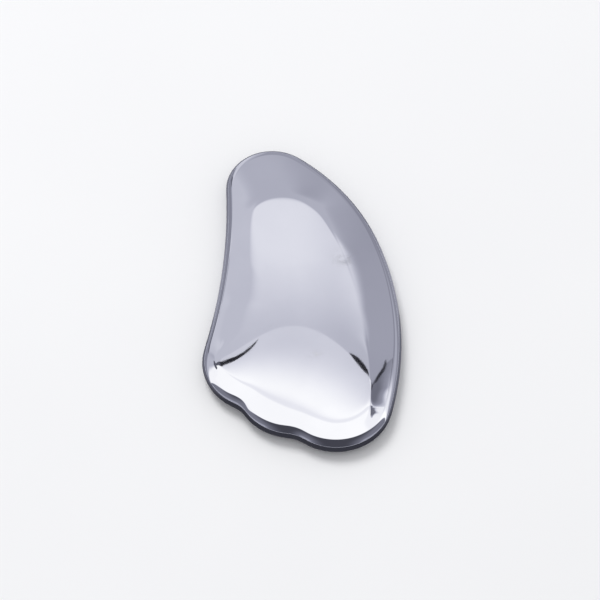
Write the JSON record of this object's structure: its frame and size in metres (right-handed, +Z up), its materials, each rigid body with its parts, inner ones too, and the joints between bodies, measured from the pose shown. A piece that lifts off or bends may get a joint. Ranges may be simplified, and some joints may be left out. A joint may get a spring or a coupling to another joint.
{
  "type": "gua sha scraper",
  "caption": "Flat polished stone massage scraper with a round tip, convex back, hollow long side and a lobed broad end, bevelled faces and a rounded edge all round.",
  "frame": {"origin": "centre of the stone's bounding box, on the plane it rests on", "axes": "+Y from the lobed end to the round tip, +X to the convex back, +Z up out of the top face"},
  "size_m": [0.0594, 0.107, 0.007],
  "materials": {
    "stone": "mirror polish"
  },
  "bodies": {
    "root": {"scraper": "stone"}
  },
  "joints": []
}
